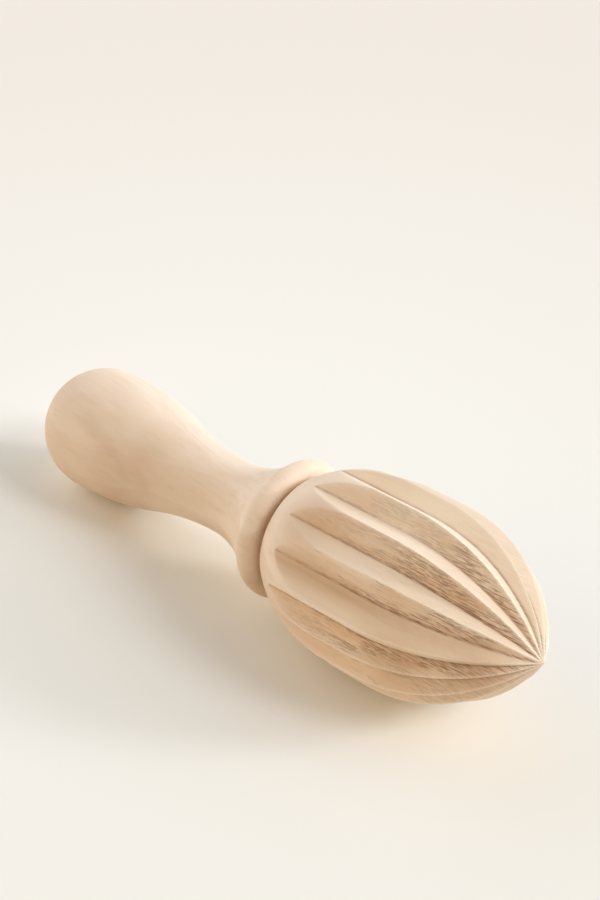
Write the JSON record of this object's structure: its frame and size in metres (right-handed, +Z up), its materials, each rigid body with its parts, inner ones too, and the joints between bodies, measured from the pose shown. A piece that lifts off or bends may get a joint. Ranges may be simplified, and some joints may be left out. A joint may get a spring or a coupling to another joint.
{
  "type": "wooden citrus reamer",
  "caption": "Turned wooden hand reamer: fluted egg-shaped head with a pointed tip, on a waisted handle with a rolled collar and a round end.",
  "frame": {"origin": "on the surface the reamer lies on, under the middle of its bounding box", "axes": "+Z up, +X from the handle's end towards the tip, as the reamer lies at rest on its bulb and two ridges"},
  "size_m": [0.1646, 0.0482, 0.0488],
  "materials": {
    "head_wood": "bare beech, cut across the grain in the flutes",
    "handle_wood": "bare beech, sanded smooth"
  },
  "bodies": {
    "root": {"head": "head_wood", "handle": "handle_wood"}
  },
  "joints": []
}
